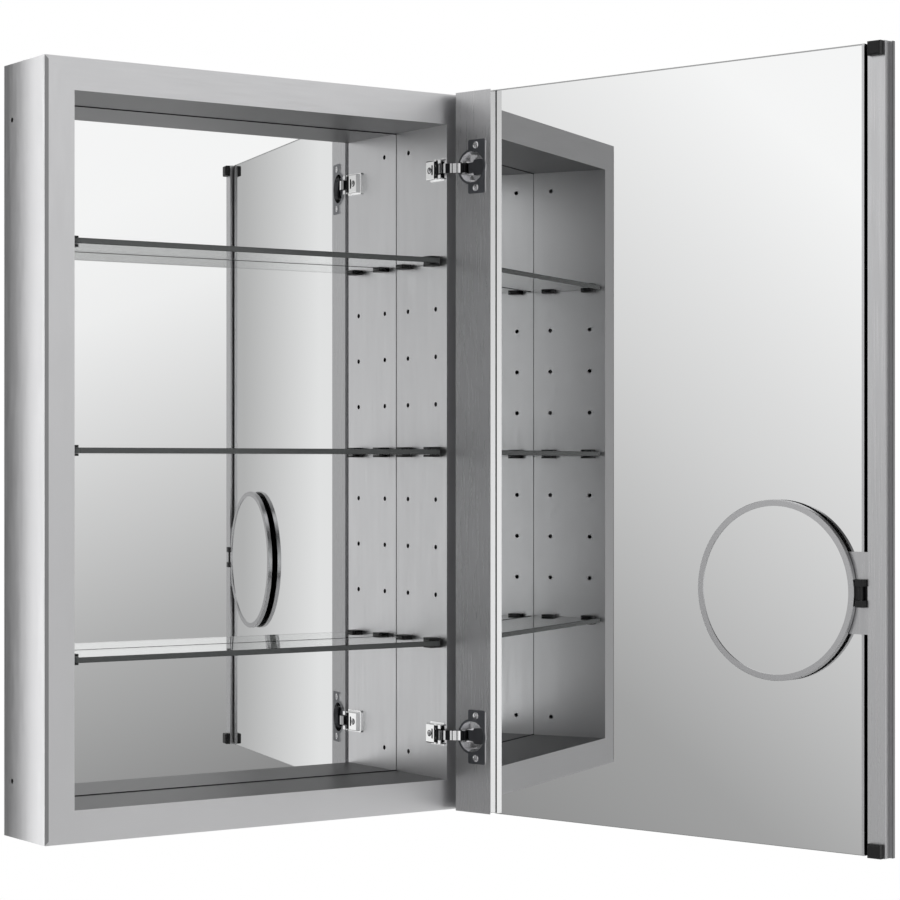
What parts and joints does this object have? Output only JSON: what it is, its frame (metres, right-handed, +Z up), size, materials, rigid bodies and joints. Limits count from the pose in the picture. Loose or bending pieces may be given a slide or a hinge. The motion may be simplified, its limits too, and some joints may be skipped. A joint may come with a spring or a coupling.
{
  "type": "medicine cabinet with mirror",
  "caption": "Recessed mirrored medicine cabinet: hollow aluminium frame, mirrored back, glass shelves on clips, mirrored door on concealed hinges and a sliding round magnifying mirror.",
  "frame": {"origin": "centre of the flat back face that lies on the wall", "axes": "+Z up, the door side faces -Y, the hinges are at +X"},
  "size_m": [0.6312, 0.6031, 0.762],
  "materials": {
    "satin_aluminium": "satin brushed",
    "anodised_aluminium": "anodised satin",
    "silvered_glass": "mirror",
    "clear_glass": "clear, polished edge",
    "door_core": "mill",
    "coated_steel": "galvanised and coated",
    "die_cast": "cast",
    "black_plastic": "moulded",
    "damper_plastic": "moulded",
    "bumper_rubber": "matt",
    "zinc_screws": "zinc plated",
    "steel_pins": "ground",
    "nickel_hinge": "nickel plated"
  },
  "bodies": {
    "cabinet": {"left_wall": "satin_aluminium", "right_wall": "satin_aluminium", "top_wall": "satin_aluminium", "bottom_wall": "satin_aluminium", "corner_keys": "die_cast", "back_pan": "coated_steel", "back_mirror": "silvered_glass", "hinge_plate_screws": "zinc_screws", "hinge_cam_screws": "zinc_screws", "hinge_base_pins": "steel_pins", "shelf_clips_upper": "black_plastic", "shelf_clips_middle": "black_plastic", "shelf_clips_lower": "black_plastic", "hinge_plate_upper": "nickel_hinge", "hinge_housing_upper": "nickel_hinge", "hinge_plate_lower": "nickel_hinge", "hinge_housing_lower": "nickel_hinge"},
    "hinge_arms": {"hinge_arm_upper": "nickel_hinge", "hinge_arm_lower": "nickel_hinge"},
    "door": {"door_front_mirror": "silvered_glass", "door_core": "door_core", "door_inner_mirror": "silvered_glass", "door_hinge_stile": "anodised_aluminium", "door_slide_rail": "anodised_aluminium", "rail_bumpers": "bumper_rubber", "hinge_cup_screws": "zinc_screws", "hinge_cup_pins": "steel_pins", "hinge_cup_upper": "nickel_hinge", "hinge_damper_upper": "damper_plastic", "hinge_cup_lower": "nickel_hinge", "hinge_damper_lower": "damper_plastic"},
    "magnifier_slider": {"magnifier_slider_plate": "anodised_aluminium", "magnifier_glide": "black_plastic", "magnifier_pivot_block": "black_plastic", "magnifier_pin": "steel_pins"},
    "magnifier": {"magnifier_back": "black_plastic", "magnifier_mirror": "silvered_glass", "magnifier_ring": "anodised_aluminium"},
    "shelf_upper": {"shelf_upper": "clear_glass"},
    "shelf_middle": {"shelf_middle": "clear_glass"},
    "shelf_lower": {"shelf_lower": "clear_glass"}
  },
  "joints": [
    {"name": "door_hinge", "type": "hinge", "parent": "hinge_arms", "child": "door", "pos_m": [0.23106, -0.11845, 0], "axis": [0, 0, 1], "range_deg": [-141.56, 0]},
    {"name": "hinge_arm_pivot", "type": "hinge", "parent": "cabinet", "child": "hinge_arms", "pos_m": [0.217, -0.0904, 0], "axis": [0, 0, 1], "range_deg": [0, 36.61]},
    {"name": "magnifier_slide", "type": "slide", "parent": "door", "child": "magnifier_slider", "axis": [0, 0, 1], "range_m": [-0.155, 0.424]},
    {"name": "magnifier_swing", "type": "hinge", "parent": "magnifier_slider", "child": "magnifier", "pos_m": [0.35361, -0.57871, -0.1345], "axis": [0, 0, 1], "range_deg": [0, 120]},
    {"name": "shelf_upper_slide", "type": "slide", "parent": "cabinet", "child": "shelf_upper", "axis": [0, -1, 0], "range_m": [0, 0.075]},
    {"name": "shelf_middle_slide", "type": "slide", "parent": "cabinet", "child": "shelf_middle", "axis": [0, -1, 0], "range_m": [0, 0.075]},
    {"name": "shelf_lower_slide", "type": "slide", "parent": "cabinet", "child": "shelf_lower", "axis": [0, -1, 0], "range_m": [0, 0.075]}
  ],
  "couplings": [
    {"joint": "hinge_arm_pivot", "follows": "door_hinge", "ratio": -0.25829}
  ]
}
